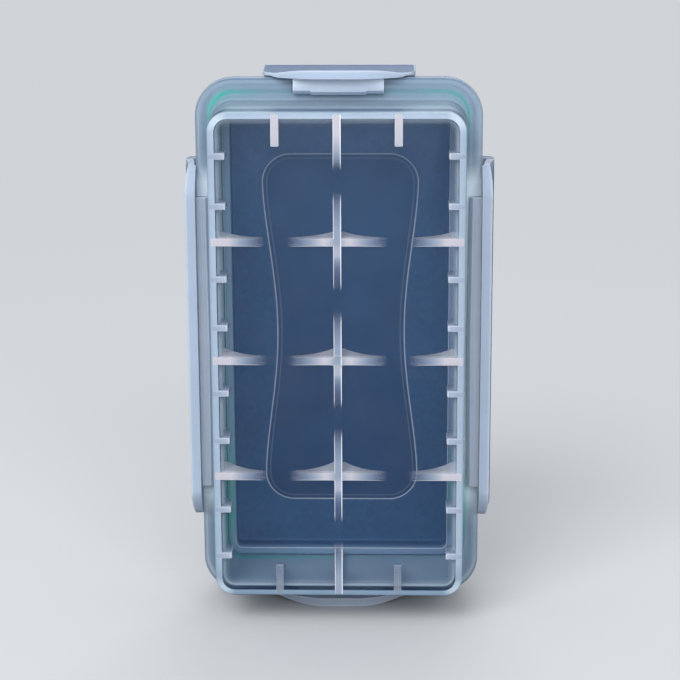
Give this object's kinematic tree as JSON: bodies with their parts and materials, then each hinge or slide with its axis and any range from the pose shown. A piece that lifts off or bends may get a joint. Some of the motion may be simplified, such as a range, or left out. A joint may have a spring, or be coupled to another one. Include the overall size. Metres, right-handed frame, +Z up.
{
  "type": "battery case",
  "caption": "Flat see-through plastic case with a ribbed base tray, a gasketed lid and a snap latch wing on each of its edges.",
  "frame": {"origin": "centre of the bounding box's bottom face, on the surface the case stands on", "axes": "+Z up along the case's length, +X to the right across it, +Y from the tray's floor to the lid"},
  "size_m": [0.0514, 0.0218, 0.0914],
  "materials": {
    "clear_plastic": "milky see-through, satin outside",
    "gasket_rubber": "matte"
  },
  "bodies": {
    "base": {"base_tray": "clear_plastic"},
    "lid": {"lid_cover": "clear_plastic", "gasket_seal": "gasket_rubber"},
    "top_latch": {"latch_top": "clear_plastic"},
    "right_latch": {"latch_right": "clear_plastic"},
    "bottom_latch": {"latch_bottom": "clear_plastic"},
    "left_latch": {"latch_left": "clear_plastic"}
  },
  "joints": [
    {"name": "lid_lift", "type": "slide", "parent": "base", "child": "lid", "axis": [0, 1, 0], "range_m": [0, 0.03]},
    {"name": "top_latch_hinge", "type": "hinge", "parent": "lid", "child": "top_latch", "pos_m": [0, 0.00755, 0.0914], "axis": [-1, 0, 0], "range_deg": [0, 120]},
    {"name": "right_latch_hinge", "type": "hinge", "parent": "lid", "child": "right_latch", "pos_m": [0.0257, 0.00755, 0.0457], "axis": [0, 0, 1], "range_deg": [0, 120]},
    {"name": "bottom_latch_hinge", "type": "hinge", "parent": "lid", "child": "bottom_latch", "pos_m": [0, 0.00755, 0], "axis": [1, 0, 0], "range_deg": [0, 120]},
    {"name": "left_latch_hinge", "type": "hinge", "parent": "lid", "child": "left_latch", "pos_m": [-0.0257, 0.00755, 0.0457], "axis": [0, 0, -1], "range_deg": [0, 120]}
  ]
}
